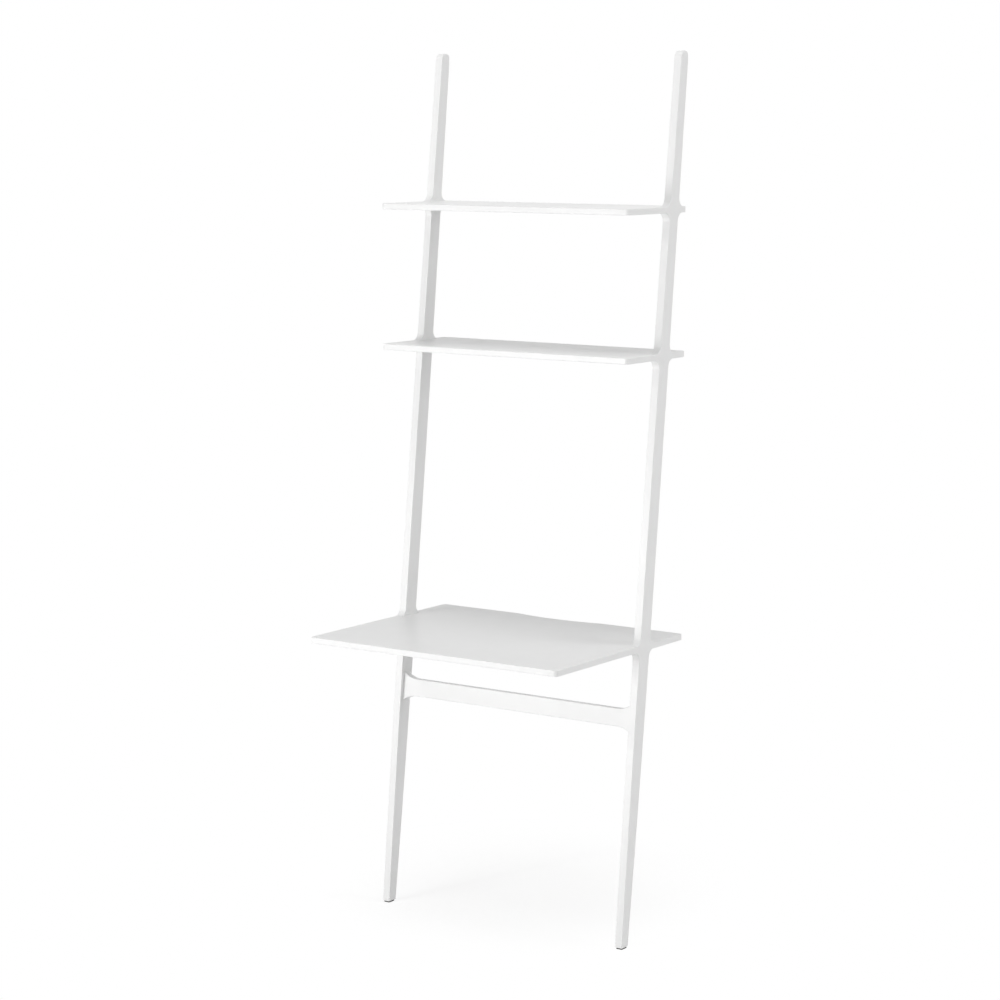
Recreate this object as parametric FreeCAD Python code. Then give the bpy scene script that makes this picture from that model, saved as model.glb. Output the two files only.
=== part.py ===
import FreeCAD, Part
import math
import os
from FreeCAD import Vector

# Ladder desk that stands on two feet and leans back on a wall.
# Two side frames, each a leaning leg with three level arms, carry a deep desk panel,
# two shelf panels and a crossbar. Hidden dowels and cam fittings hold the boards in.
# Millimetres. +Z is up, the wall is on the +Y side, X = 0 is the middle of the desk,
# Y = 0 is halfway between the wall and the desk's front edge, and Z = 0 is the floor.

# Overall sizes
overall_width = 720.0
desk_depth = 555.0
shelf_depth = 260.0
desk_height = 730.0
tip_height = 2134.0
tip_above_top_shelf = 366.0
shelf_spacing = 346.0

# Boards and arms
panel_thickness = 15.0
plan_corner_radius = 10.0
arris = 1.5
seam_arris = 0.5

# Legs: the axis runs straight from the foot to the tip, and both edges bow gently
leg_thickness = 20.0
foot_setback = 256.0
tip_setback = 13.0
leg_widest_height = 800.0
leg_depth_widest = 43.0
leg_depth_foot = 27.0
leg_depth_tip = 31.0
crossing_fillet = 20.0
tip_front_radius = 15.0
tip_wall_radius = 11.0

# Crossbar between the legs, square to them, with flared ends
crossbar_height = 550.0
crossbar_width = 44.0
crossbar_thickness = 20.0
flare_length = 40.0
flare_rise = 14.5

# Shallow recess for cables in the middle of the desk's back edge
cable_recess_width = 250.0
cable_recess_depth = 14.0
cable_recess_blend = 80.0

# Dowels
dowel_diameter = 6.0
dowel_in_arm = 10.0
dowel_in_board = 14.0
dowel_inset = 45.0
dowel_pitch_limit = 260.0
crossbar_dowel_spacing = 28.0

# Cam fittings: a bolt in the arm, and a cam in the board that grips the bolt's head
cam_diameter = 15.0
cam_setback = 24.0
cam_end_above_bolt = 4.5
cam_slot_width = 1.8
cam_slot_length = 8.0
cam_slot_depth = 2.5
bolt_thread_diameter = 5.0
bolt_thread_length = 11.0
bolt_collar_diameter = 7.0
bolt_collar_thickness = 1.0
bolt_stem_diameter = 4.0
bolt_head_diameter = 6.5
bolt_head_length = 2.5

# Foot pads
foot_pad_thickness = 4.0
foot_pad_side_inset = 1.5
foot_pad_end_inset = 2.5
foot_pad_corner = 2.5
pad_screw_diameter = 3.0
pad_screw_length = 18.0
pad_screw_head_diameter = 6.0
pad_screw_head_height = 1.7
pad_screw_recess = 0.8

# Wall brackets under the middle shelf's back edge
bracket_spacing = 400.0
bracket_width = 30.0
bracket_leg = 24.0
bracket_steel = 2.0
bracket_bend_radius = 3.0
bracket_corner = 4.0
wall_hole_diameter = 5.5
wall_hole_drop = 14.0
bracket_screw_spacing = 16.0
bracket_screw_distance = 14.0
bracket_screw_diameter = 3.5
bracket_screw_length = 12.0
bracket_screw_head_diameter = 7.0
bracket_screw_head_height = 2.2
bracket_screw_crown_diameter = 5.0

# Clearances
bore_clearance = 0.1
bore_end_clearance = 0.5
cam_cavity_clearance = 0.3

# Most of the room beside it that a fillet may take, and how sharp a screw's point is
crossing_fillet_share = 0.8
tip_front_share = 0.55
tip_wall_share = 0.4
screw_point_share = 0.3

# Hidden fittings and their bores are drawn with flat sides, so that the many of them stay simple.
# This is each flat's share of a turn, in degrees.
fitting_flat_turn = 36.0
cam_flat_turn = 22.5

# Places worked out from the sizes above
wall_y = desk_depth / 2
outer_x = overall_width / 2
inner_x = outer_x - leg_thickness
top_shelf_height = tip_height - tip_above_top_shelf
middle_shelf_height = top_shelf_height - shelf_spacing
foot_axis_y = wall_y - foot_setback
lean = math.atan2(foot_setback - tip_setback, tip_height)
widest_along = leg_widest_height / math.cos(lean)
tip_along = tip_height / math.cos(lean)
crossbar_along = crossbar_height / math.cos(lean)

X_AXIS = Vector(1, 0, 0)
Y_AXIS = Vector(0, 1, 0)
Z_AXIS = Vector(0, 0, 1)
DOWN = Vector(0, 0, -1)
OFF_CROSSBAR_BACK = Vector(0, math.cos(lean), -math.sin(lean))
SAME_PLACE = 1e-4

# Each board's top surface and its depth from front to back
boards = {
    "desk": (desk_height, desk_depth),
    "middle_shelf": (middle_shelf_height, shelf_depth),
    "top_shelf": (top_shelf_height, shelf_depth),
}


def box_between(low, high):
    """Upright box from its lowest to its highest corner."""
    size = high.sub(low)
    return Part.makeBox(size.x, size.y, size.z, low)


def ring(diameter, centre, direction, sides):
    """Corners of a round section drawn with flat sides, square to a direction."""
    first = X_AXIS if abs(direction.x) < SAME_PLACE else Z_AXIS
    second = direction.cross(first)
    turns = [math.tau * side / sides for side in range(sides)]
    spokes = [first * math.cos(turn) + second * math.sin(turn) for turn in turns]
    return [centre + spoke * (diameter / 2) for spoke in spokes]


def flat_face(corners):
    """Flat face with straight edges between its corners."""
    return Part.Face(Part.makePolygon(corners + corners[:1]))


def sides_of(flat_turn):
    """How many flat sides go round a turned piece."""
    return round(math.tau / math.radians(flat_turn))


def turned(profile, start, direction, flat_turn=fitting_flat_turn):
    """Turned piece with flat sides: pairs of distance along the axis and diameter, in order."""
    sides = sides_of(flat_turn)
    rings = [ring(diameter, start + direction * along, direction, sides) for along, diameter in profile]
    faces = [flat_face(rings[0]), flat_face(rings[-1])]
    for near, far in zip(rings, rings[1:]):
        for side in range(sides):
            faces.append(flat_face([near[side - 1], near[side], far[side], far[side - 1]]))
    return Part.Solid(Part.Shell(faces)).removeSplitter()


def rod(diameter, start, direction, length, flat_turn=fitting_flat_turn):
    """Plain rod with flat sides, from a point along a direction."""
    return turned([(0, diameter), (length, diameter)], start, direction, flat_turn)


def across_corners(diameter, flat_turn=fitting_flat_turn):
    """Size over the corners of a hole whose flats clear a rod of that diameter."""
    return (diameter + 2 * bore_clearance) / math.cos(math.pi / sides_of(flat_turn))


def bore(diameter, start, direction, length, flat_turn=fitting_flat_turn):
    """Cutter for the hole that clears a rod of that diameter."""
    return rod(across_corners(diameter, flat_turn), start, direction, length, flat_turn)


def mirrored(shape):
    """The same shape on the other side of the desk."""
    return shape.mirror(Vector(0, 0, 0), X_AXIS)


def both_sides(shapes):
    """Group of separate solids: the right-hand ones and their mirror images."""
    return Part.makeCompound(shapes + [mirrored(shape) for shape in shapes])


def edges_where(shape, wanted):
    """The edges that a test picks out by their place."""
    return [edge for edge in shape.Edges if wanted(edge)]


def edges_at(shape, place):
    """The edge whose middle is at a place, in a list."""
    return edges_where(shape, lambda edge: edge.CenterOfMass.isEqual(place, SAME_PLACE))


def at_x(edge, x):
    """Whether an edge lies in the upright plane at x."""
    return abs(edge.BoundBox.XMin - x) < SAME_PLACE and abs(edge.BoundBox.XMax - x) < SAME_PLACE


def at_z(edge, z):
    """Whether an edge lies in the level plane at z."""
    return abs(edge.BoundBox.ZMin - z) < SAME_PLACE and abs(edge.BoundBox.ZMax - z) < SAME_PLACE


def runs_along(edge, axis):
    """Whether an edge is straight and parallel to an axis."""
    span = edge.Vertexes[-1].Point.sub(edge.Vertexes[0].Point)
    return abs(abs(span.dot(axis)) - edge.Length) < SAME_PLACE


# Side frames


def on_leg(along, across):
    """Point on the seam plane, along the leg's axis from the floor and across it towards the room."""
    y = foot_axis_y + along * math.sin(lean) - across * math.cos(lean)
    z = along * math.cos(lean) + across * math.sin(lean)
    return Vector(inner_x, y, z)


def leg_half_depth(along):
    """Half of the leg's depth, from circular bows that are level at the widest place."""
    if along < widest_along:
        reach = widest_along
        drop = (leg_depth_widest - leg_depth_foot) / 2
    else:
        reach = tip_along - widest_along
        drop = (leg_depth_widest - leg_depth_tip) / 2
    radius = (reach ** 2 + drop ** 2) / (2 * drop)
    return leg_depth_widest / 2 - radius + math.sqrt(radius ** 2 - (along - widest_along) ** 2)


def bowed_edge(start, end, side):
    """A stretch of the leg's front edge (side 1) or back edge (side -1), as one arc."""
    stations = (start, (start + end) / 2, end)
    return Part.Arc(*[on_leg(along, side * leg_half_depth(along)) for along in stations]).toShape()


def square_end(along, side):
    """The line that closes the leg's outline at one end."""
    half_depth = side * leg_half_depth(along)
    return Part.makeLine(on_leg(along, half_depth), on_leg(along, -half_depth))


def leg():
    """Bowed leg, cut level at the foot and the tip, and flat where it meets the wall."""
    below = -leg_depth_widest
    above = tip_along + leg_depth_widest
    outline = [
        bowed_edge(below, widest_along, 1),
        bowed_edge(widest_along, above, 1),
        square_end(above, 1),
        bowed_edge(above, widest_along, -1),
        bowed_edge(widest_along, below, -1),
        square_end(below, -1),
    ]
    blank = Part.Face(Part.Wire(outline)).extrude(X_AXIS * leg_thickness)
    low = Vector(inner_x, foot_axis_y - desk_depth, foot_pad_thickness)
    return blank.common(box_between(low, Vector(outer_x, wall_y, tip_height)))


def arm(top_z, depth):
    """Level arm that carries one end of a board and shows as its side edge."""
    low = Vector(inner_x, wall_y - depth, top_z - panel_thickness)
    return box_between(low, Vector(outer_x, wall_y, top_z))


def round_crossings(frame):
    """Fillet the four corners of each crossing, as far as the arm's free end has room."""
    for top_z, depth in boards.values():
        front_y = wall_y - depth
        for level in (top_z, top_z - panel_thickness):
            corners = edges_where(frame, lambda edge: runs_along(edge, X_AXIS) and at_z(edge, level))
            places = [corner.CenterOfMass for corner in corners]
            for place in [p for p in places if front_y + SAME_PLACE < p.y < wall_y - SAME_PLACE]:
                room = min(place.y - front_y, wall_y - place.y) - plan_corner_radius
                radius = min(crossing_fillet, crossing_fillet_share * room)
                frame = frame.makeFillet(radius, edges_at(frame, place))
    return frame


def round_tip(frame):
    """Round both corners of the tip into one nose, as far as its width has room."""
    ends = edges_where(frame, lambda edge: runs_along(edge, X_AXIS) and at_z(edge, tip_height))
    front, back = sorted([end.CenterOfMass for end in ends], key=lambda place: place.y)
    width = back.y - front.y
    radii = (min(tip_front_radius, tip_front_share * width), min(tip_wall_radius, tip_wall_share * width))
    for place, radius in zip((front, back), radii):
        frame = frame.makeFillet(radius, edges_at(frame, place))
    return frame


def stands_on_arm(edge):
    """Whether an edge is upright and within the height of one of the arms."""
    middle = edge.CenterOfMass.z
    beside_arm = any(top_z - panel_thickness < middle < top_z for top_z, _ in boards.values())
    return beside_arm and runs_along(edge, Z_AXIS)


def is_arm_end_arris(edge):
    """Whether an edge is the upper or lower arris of an arm's rounded end."""
    for top_z, depth in boards.values():
        near_front = edge.BoundBox.YMax < wall_y - depth + plan_corner_radius + SAME_PLACE
        near_wall = edge.BoundBox.YMin > wall_y - plan_corner_radius - SAME_PLACE
        level = at_z(edge, top_z) or at_z(edge, top_z - panel_thickness)
        if level and (near_front or near_wall):
            return True
    return False


def ease_arrises(frame):
    """Chamfer the outer arrises, and just break those of the inner face, where the boards meet it."""

    def on_outline(edge, x):
        return at_x(edge, x) and not stands_on_arm(edge) and not at_z(edge, foot_pad_thickness)

    outer = edges_where(frame, lambda edge: on_outline(edge, outer_x) or is_arm_end_arris(edge))
    frame = frame.makeChamfer(arris, outer)
    return frame.makeChamfer(seam_arris, edges_where(frame, lambda edge: on_outline(edge, inner_x)))


def side_frame():
    """Right-hand side frame: leg and arms in one piece, bored for its fittings."""
    frame = leg().fuse([arm(top_z, depth) for top_z, depth in boards.values()]).removeSplitter()
    frame = round_tip(round_crossings(frame))
    plan_corners = edges_where(frame, lambda edge: at_x(edge, outer_x) and stands_on_arm(edge))
    frame = ease_arrises(frame.makeFillet(plan_corner_radius, plan_corners))
    bores = [pad_screw_bore()]
    for places in fitting_places.values():
        for place in places["dowels"]:
            bores.append(bore_into_arm(dowel_diameter, place, dowel_in_arm))
        for place in places["cams"]:
            bores.append(bore_into_arm(bolt_thread_diameter, place, bolt_thread_length))
    return frame.cut(bores)


# Dowels and cam fittings, placed on the seam plane at the right-hand end of each board


def board_fitting_places(top_z, depth):
    """Dowels spread over a board's depth, with a cam fitting between each two."""
    spread = depth - 2 * dowel_inset
    spans = math.ceil(spread / dowel_pitch_limit)
    dowel_y = [wall_y - dowel_inset - spread * step / spans for step in range(spans + 1)]
    cam_y = [(near + far) / 2 for near, far in zip(dowel_y, dowel_y[1:])]
    middle_z = top_z - panel_thickness / 2
    return {
        "dowels": [Vector(inner_x, y, middle_z) for y in dowel_y],
        "cams": [Vector(inner_x, y, middle_z) for y in cam_y],
        "cam_side": DOWN,
        "thickness": panel_thickness,
    }


fitting_places = {name: board_fitting_places(*sizes) for name, sizes in boards.items()}
fitting_places["crossbar"] = {
    "dowels": [on_leg(crossbar_along + side * crossbar_dowel_spacing / 2, 0) for side in (-1, 1)],
    "cams": [on_leg(crossbar_along, 0)],
    "cam_side": OFF_CROSSBAR_BACK,
    "thickness": crossbar_thickness,
}


def bore_into_arm(diameter, place, depth):
    """Cutter for a bore from the seam into the side frame."""
    return bore(diameter, place, X_AXIS, depth + bore_end_clearance)


def bore_into_board(diameter, place, depth):
    """Cutter for a bore from the seam into a board's end."""
    return bore(diameter, place, -X_AXIS, depth)


def cam_bore(place, cam_side, thickness):
    """Cutter for the round pocket that a cam drops into."""
    depth = thickness / 2 + cam_end_above_bolt + bore_end_clearance
    mouth = place - X_AXIS * cam_setback + cam_side * (thickness / 2)
    return bore(cam_diameter, mouth, -cam_side, depth, cam_flat_turn)


def board_bores(name):
    """Cutters for all the fittings at both ends of a board."""
    places = fitting_places[name]
    bores = []
    for place in places["dowels"]:
        bores.append(bore_into_board(dowel_diameter, place, dowel_in_board + bore_end_clearance))
    for place in places["cams"]:
        bores.append(bore_into_board(bolt_collar_diameter, place, cam_setback))
        bores.append(cam_bore(place, places["cam_side"], places["thickness"]))
    return bores + [mirrored(cutter) for cutter in bores]


def dowel(place):
    """Plain wooden dowel, partly in the arm and a little deeper in the board."""
    return rod(dowel_diameter, place - X_AXIS * dowel_in_board, X_AXIS, dowel_in_arm + dowel_in_board)


def cam_bolt(place):
    """Bolt screwed into the arm, with a collar on the seam and a head in the middle of the cam."""
    collar_end = bolt_thread_length + bolt_collar_thickness
    head_start = bolt_thread_length + cam_setback - bolt_head_length / 2
    profile = [
        (0, bolt_thread_diameter),
        (bolt_thread_length, bolt_thread_diameter),
        (bolt_thread_length, bolt_collar_diameter),
        (collar_end, bolt_collar_diameter),
        (collar_end, bolt_stem_diameter),
        (head_start, bolt_stem_diameter),
        (head_start, bolt_head_diameter),
        (head_start + bolt_head_length, bolt_head_diameter),
    ]
    return turned(profile, place + X_AXIS * bolt_thread_length, -X_AXIS)


def cam(place, cam_side, thickness):
    """Cam disc with a cavity round the bolt's head, a way in for its stem and a cross slot to turn it."""
    centre = place - X_AXIS * cam_setback
    face = centre + cam_side * (thickness / 2)
    disc = rod(cam_diameter, face, -cam_side, thickness / 2 + cam_end_above_bolt, cam_flat_turn)
    head_room = bolt_head_length / 2 + cam_cavity_clearance
    head_cavity = rod(
        bolt_head_diameter + 2 * cam_cavity_clearance, centre - X_AXIS * head_room, X_AXIS, 2 * head_room)
    stem_way = rod(bolt_stem_diameter + 2 * cam_cavity_clearance, centre, X_AXIS, cam_diameter)
    across = cam_side.cross(X_AXIS)
    slots = []
    for direction, other in ((X_AXIS, across), (across, X_AXIS)):
        corner = face - direction * (cam_slot_length / 2) - other * (cam_slot_width / 2)
        far_corner = corner + direction * cam_slot_length
        width = other * cam_slot_width
        slot = flat_face([corner, far_corner, far_corner + width, corner + width])
        slots.append(slot.extrude(-cam_side * cam_slot_depth))
    return disc.cut([head_cavity, stem_way] + slots)


# Boards and crossbar


def on_board_end(edge):
    """Whether an edge lies on the square end of a board, against a side frame."""
    return at_x(edge, inner_x) or at_x(edge, -inner_x)


def board_blank(name):
    """Plain board that fills the space between the two side frames."""
    top_z, depth = boards[name]
    low = Vector(-inner_x, wall_y - depth, top_z - panel_thickness)
    return box_between(low, Vector(inner_x, wall_y, top_z))


def with_cable_recess(board):
    """Cut a shallow arc out of the back edge, and blend its two ends."""
    half_width = cable_recess_width / 2
    radius = (half_width ** 2 + cable_recess_depth ** 2) / (2 * cable_recess_depth)
    centre = Vector(0, wall_y - cable_recess_depth + radius, desk_height)
    board = board.cut(Part.makeCylinder(radius, panel_thickness, centre, DOWN))
    uprights = edges_where(board, lambda edge: runs_along(edge, Z_AXIS))
    return board.makeFillet(cable_recess_blend, [edge for edge in uprights if not on_board_end(edge)])


def finished_board(name, blank):
    """Board with its front and back arrises chamfered, its ends left square for a tight seam, and bored."""
    top_z = boards[name][0]
    arrises = edges_where(blank, lambda edge: at_z(edge, top_z) or at_z(edge, top_z - panel_thickness))
    long_arrises = [edge for edge in arrises if not on_board_end(edge)]
    return blank.makeChamfer(arris, long_arrises).cut(board_bores(name))


def flare(side):
    """Arc from the bar's straight edge up to its wider end on the right-hand leg."""
    radius = (flare_length ** 2 + flare_rise ** 2) / (2 * flare_rise)
    half_way = flare_length / 2
    half_rise = radius - math.sqrt(radius ** 2 - half_way ** 2)
    edge = side * crossbar_width / 2
    return [
        crossbar_point(inner_x - flare_length, edge),
        crossbar_point(inner_x - half_way, edge + side * half_rise),
        crossbar_point(inner_x, edge + side * flare_rise),
    ]


def crossbar_point(x, up):
    """Point on the crossbar's front face, up the leg from the bar's middle line."""
    place = on_leg(crossbar_along + up, crossbar_thickness / 2)
    return Vector(x, place.y, place.z)


def crossbar():
    """Crossbar whose ends flare up and down to meet the legs."""
    right = [flare(1), flare(-1)]
    left = [[Vector(-point.x, point.y, point.z) for point in points] for points in right]
    outline = [
        Part.makeLine(left[0][0], right[0][0]),
        Part.Arc(*right[0]).toShape(),
        Part.makeLine(right[0][2], right[1][2]),
        Part.Arc(*reversed(right[1])).toShape(),
        Part.makeLine(right[1][0], left[1][0]),
        Part.Arc(*left[1]).toShape(),
        Part.makeLine(left[1][2], left[0][2]),
        Part.Arc(*reversed(left[0])).toShape(),
    ]
    bar = Part.Face(Part.Wire(outline)).extrude(OFF_CROSSBAR_BACK * crossbar_thickness)
    along_bar = edges_where(bar, lambda edge: not runs_along(edge, OFF_CROSSBAR_BACK))
    long_arrises = [edge for edge in along_bar if not on_board_end(edge)]
    return bar.makeChamfer(arris, long_arrises).cut(board_bores("crossbar"))


# Feet


foot_centre = Vector((inner_x + outer_x) / 2, foot_axis_y + foot_pad_thickness * math.tan(lean), 0)


def pad_screw():
    """Countersunk screw that holds a foot pad to the leg's end grain."""
    profile = [
        (0, pad_screw_head_diameter),
        (pad_screw_head_height, pad_screw_diameter),
        (pad_screw_length - pad_screw_diameter, pad_screw_diameter),
        (pad_screw_length, pad_screw_diameter * screw_point_share),
    ]
    return turned(profile, foot_centre + Z_AXIS * pad_screw_recess, Z_AXIS)


def pad_screw_bore():
    """Cutter for the pad screw's hole through the pad and into the leg."""
    return bore(
        pad_screw_diameter, foot_centre, Z_AXIS, pad_screw_recess + pad_screw_length + bore_end_clearance)


def foot_pad():
    """Thin pad under the leg, a little smaller than the leg's end, with a countersunk hole."""
    half_depth = leg_half_depth(0) / math.cos(lean) - foot_pad_end_inset
    half_width = leg_thickness / 2 - foot_pad_side_inset
    half_size = Vector(half_width, half_depth, 0)
    pad = box_between(foot_centre - half_size, foot_centre + half_size + Z_AXIS * foot_pad_thickness)
    pad = pad.makeFillet(foot_pad_corner, edges_where(pad, lambda edge: runs_along(edge, Z_AXIS)))
    countersink = [
        (0, across_corners(pad_screw_head_diameter)),
        (pad_screw_recess, across_corners(pad_screw_head_diameter)),
        (pad_screw_recess + pad_screw_head_height, across_corners(pad_screw_diameter)),
    ]
    return pad.cut([turned(countersink, foot_centre, Z_AXIS), pad_screw_bore()])


# Wall brackets


bracket_x = bracket_spacing / 2
shelf_underside = middle_shelf_height - panel_thickness
bracket_underside = shelf_underside - bracket_steel
bracket_screw_y = wall_y - bracket_screw_distance
bracket_screw_x = [bracket_x + side * bracket_screw_spacing / 2 for side in (-1, 1)]
bracket_screw_places = [Vector(x, bracket_screw_y, bracket_underside) for x in bracket_screw_x]


def bracket_screw_bore(place):
    """Cutter for a bracket screw's hole through the steel and into the shelf."""
    return bore(bracket_screw_diameter, place, Z_AXIS, bracket_screw_length + bore_end_clearance)


def bracket_screw(place):
    """Screw with a domed head, from below through the bracket into the shelf."""
    point_start = bracket_screw_head_height + bracket_screw_length - bracket_screw_diameter
    profile = [
        (0, bracket_screw_crown_diameter),
        (bracket_screw_head_height, bracket_screw_head_diameter),
        (bracket_screw_head_height, bracket_screw_diameter),
        (point_start, bracket_screw_diameter),
        (point_start + bracket_screw_diameter, bracket_screw_diameter * screw_point_share),
    ]
    return turned(profile, place - Z_AXIS * bracket_screw_head_height, Z_AXIS)


def wall_bracket():
    """Folded steel angle: one flange up against the shelf, the other flat on the wall."""
    left_x = bracket_x - bracket_width / 2
    right_x = bracket_x + bracket_width / 2
    front_y = wall_y - bracket_leg
    bottom_z = shelf_underside - bracket_leg
    flange_y = wall_y - bracket_steel
    back_corner = Vector(right_x, wall_y, shelf_underside)
    flat = box_between(Vector(left_x, front_y, bracket_underside), back_corner)
    upright = box_between(Vector(left_x, flange_y, bottom_z), back_corner)
    angle = flat.fuse(upright).removeSplitter()
    bend_inside = Vector(bracket_x, flange_y, bracket_underside)
    bend_outside = Vector(bracket_x, wall_y, shelf_underside)
    angle = angle.makeFillet(bracket_bend_radius, edges_at(angle, bend_inside))
    angle = angle.makeFillet(bracket_bend_radius + bracket_steel, edges_at(angle, bend_outside))
    corners = edges_where(angle, lambda edge: abs(edge.Length - bracket_steel) < SAME_PLACE)
    angle = angle.makeChamfer(bracket_corner, corners)
    wall_hole_centre = Vector(bracket_x, flange_y, shelf_underside - wall_hole_drop)
    wall_hole = Part.makeCylinder(wall_hole_diameter / 2, bracket_steel, wall_hole_centre, Y_AXIS)
    return angle.cut([wall_hole] + [bracket_screw_bore(place) for place in bracket_screw_places])


# All the pieces

right_frame = side_frame()
right_pad = foot_pad()
right_bracket = wall_bracket()
bracket_bores = [bracket_screw_bore(place) for place in bracket_screw_places]
bracket_bores += [mirrored(cutter) for cutter in bracket_bores]

nodes = {
    "right_side_frame": right_frame,
    "left_side_frame": mirrored(right_frame),
    "desk_panel": finished_board("desk", with_cable_recess(board_blank("desk"))),
    "middle_shelf_panel": finished_board("middle_shelf", board_blank("middle_shelf")).cut(bracket_bores),
    "top_shelf_panel": finished_board("top_shelf", board_blank("top_shelf")),
    "crossbar": crossbar(),
    "right_foot_pad": right_pad,
    "left_foot_pad": mirrored(right_pad),
    "foot_pad_screws": both_sides([pad_screw()]),
    "right_wall_bracket": right_bracket,
    "left_wall_bracket": mirrored(right_bracket),
    "wall_bracket_screws": both_sides([bracket_screw(place) for place in bracket_screw_places]),
}
for board, places in fitting_places.items():
    cams = [cam(place, places["cam_side"], places["thickness"]) for place in places["cams"]]
    nodes[board + "_dowels"] = both_sides([dowel(place) for place in places["dowels"]])
    nodes[board + "_cams"] = both_sides(cams)
    nodes[board + "_cam_bolts"] = both_sides([cam_bolt(place) for place in places["cams"]])

os.makedirs("parts", exist_ok=True)
for name, shape in nodes.items():
    shape.exportStep("parts/" + name + ".step")
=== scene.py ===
import math

import bmesh
import bpy
from mathutils import Matrix, Vector


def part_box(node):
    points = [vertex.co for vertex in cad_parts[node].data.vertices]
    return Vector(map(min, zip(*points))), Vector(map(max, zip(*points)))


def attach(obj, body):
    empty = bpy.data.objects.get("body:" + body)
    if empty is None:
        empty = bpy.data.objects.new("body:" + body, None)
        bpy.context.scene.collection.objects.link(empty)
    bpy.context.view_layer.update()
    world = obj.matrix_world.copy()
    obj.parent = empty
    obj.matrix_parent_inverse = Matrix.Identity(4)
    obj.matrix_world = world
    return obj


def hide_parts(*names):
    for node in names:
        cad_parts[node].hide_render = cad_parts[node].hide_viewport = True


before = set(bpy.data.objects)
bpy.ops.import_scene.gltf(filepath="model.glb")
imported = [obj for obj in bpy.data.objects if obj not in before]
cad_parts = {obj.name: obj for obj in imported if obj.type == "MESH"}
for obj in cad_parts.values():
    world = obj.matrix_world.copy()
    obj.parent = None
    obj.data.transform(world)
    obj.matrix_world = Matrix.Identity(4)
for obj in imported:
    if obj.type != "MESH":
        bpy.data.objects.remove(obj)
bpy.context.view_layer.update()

# Side frames. Each is one piece of wood: a leaning leg, bowed a little towards both ends, that grows into
# three level arms through filleted crossings. It is sanded round along its arrises and sprayed with white
# satin lacquer. Hidden dowels and cam bolts in its inner face hold the boards and the crossbar.
side_low, side_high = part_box("right_side_frame")
inner_x = side_low.x
outer_x = side_high.x
wall_y = side_high.y
foot_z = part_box("right_foot_pad")[1].z
tip_z = side_high.z
foot_setback = 0.256
tip_setback = 0.013
leg_widest_z = 0.800
leg_half_widest = 0.0215
leg_half_foot = 0.0135
leg_half_tip = 0.0155
crossing_radius = 0.020
tip_front_radius = 0.015
tip_wall_radius = 0.011
plan_corner_radius = 0.010
arris_radius = 0.002
seam_arris = 0.0004
arc_segments = 12
arris_segments = 4
ring_spacing = 0.075
ring_clear_of_arm = 0.050
leg_overrun = 0.060
tolerance = 0.00002
x_axis = 0
y_axis = 1
z_axis = 2

lean = math.atan2(foot_setback - tip_setback, tip_z)
foot_axis = Vector(((inner_x + outer_x) / 2, wall_y - foot_setback, 0))
leg_length = tip_z / math.cos(lean)
widest_along = leg_widest_z / math.cos(lean)
board_names = ("desk_panel", "middle_shelf_panel", "top_shelf_panel")


def label(piece, name):
    """Name a piece and its mesh alike."""
    piece.name = name
    piece.data.name = name


def start_piece(name, low, high):
    """A box between two corners, as the start of a piece, opened in edit mode."""
    bpy.ops.object.select_all(action="DESELECT")
    bpy.ops.mesh.primitive_cube_add(size=1, location=(low + high) / 2, scale=high - low)
    bpy.ops.object.transform_apply(location=True, rotation=True, scale=True)
    piece = bpy.context.active_object
    label(piece, name)
    bpy.ops.object.mode_set(mode="EDIT")
    return piece


def pick(piece, kind, wanted):
    """In edit mode, select just the vertices, edges or faces that a test finds by their place."""
    bpy.ops.mesh.select_mode(type=kind)
    bpy.ops.mesh.select_all(action="DESELECT")
    mesh = bmesh.from_edit_mesh(piece.data)
    for item in {"VERT": mesh.verts, "EDGE": mesh.edges, "FACE": mesh.faces}[kind]:
        if wanted(item):
            item.select_set(True)
    bmesh.update_edit_mesh(piece.data)


def near(a, b):
    return abs(a - b) < tolerance


def runs_along(edge, axis):
    """Whether an edge is parallel to the axis with that number."""
    span = edge.verts[1].co - edge.verts[0].co
    return abs(abs(span[axis]) - span.length) < tolerance


def middle(edge):
    return (edge.verts[0].co + edge.verts[1].co) / 2


def cut(place, normal, clear=False):
    """Cut the whole piece by a plane, and with clear take away what lies beyond it and close the cut."""
    bpy.ops.mesh.select_mode(type="VERT")
    bpy.ops.mesh.select_all(action="SELECT")
    bpy.ops.mesh.bisect(plane_co=place, plane_no=normal, use_fill=clear, clear_outer=clear)


def round_off(radius, turn, segments=arc_segments):
    """Round the selected edges to a radius, where turn is the angle between their two faces' lines."""
    bpy.ops.mesh.bevel(offset_type="OFFSET", offset=radius / math.tan(turn / 2), segments=segments,
                       affect="EDGES", clamp_overlap=False)


def leg_half_depth(along):
    """Half of the leg's depth, from circular bows that are level at the widest place."""
    if along < widest_along:
        reach, drop = widest_along, leg_half_widest - leg_half_foot
    else:
        reach, drop = leg_length - widest_along, leg_half_widest - leg_half_tip
    bow = (reach ** 2 + drop ** 2) / (2 * drop)
    return leg_half_widest - bow + math.sqrt(bow ** 2 - (along - widest_along) ** 2)


def leg_axis_y(z):
    return foot_axis.y + z * math.tan(lean)


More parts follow.
